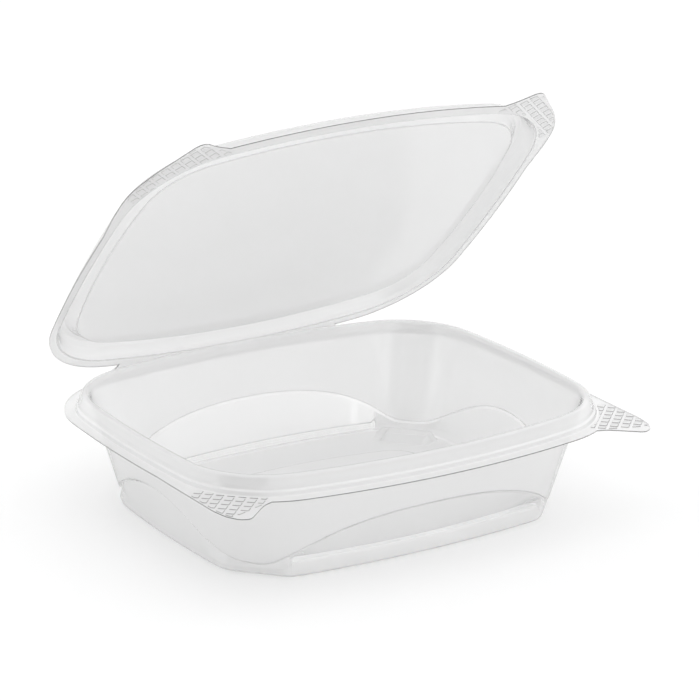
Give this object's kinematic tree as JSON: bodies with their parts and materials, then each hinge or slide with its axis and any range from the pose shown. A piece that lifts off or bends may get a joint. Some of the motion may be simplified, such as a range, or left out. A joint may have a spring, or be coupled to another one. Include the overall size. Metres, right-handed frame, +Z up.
{
  "type": "takeaway meal container",
  "caption": "Clear hinged takeaway container: a deep rectangular tray with arched wall panels and corner feet, and a domed-edge lid with finger tabs.",
  "frame": {"origin": "centre of the plane that the tray stands on", "axes": "+Z up, X along the long sides and the hinge, +Y towards the hinge, -Y towards the finger tabs at the front"},
  "size_m": [0.1842, 0.1652, 0.1553],
  "materials": {
    "clear_plastic": "clear glossy thermoformed plastic sheet"
  },
  "bodies": {
    "base": {"base": "clear_plastic"},
    "lid": {"lid": "clear_plastic"}
  },
  "joints": [
    {"name": "lid_hinge", "type": "hinge", "parent": "base", "child": "lid", "pos_m": [0, 0.0818, 0.0348], "axis": [-1, 0, 0], "range_deg": [-46.5, 133.5]}
  ]
}
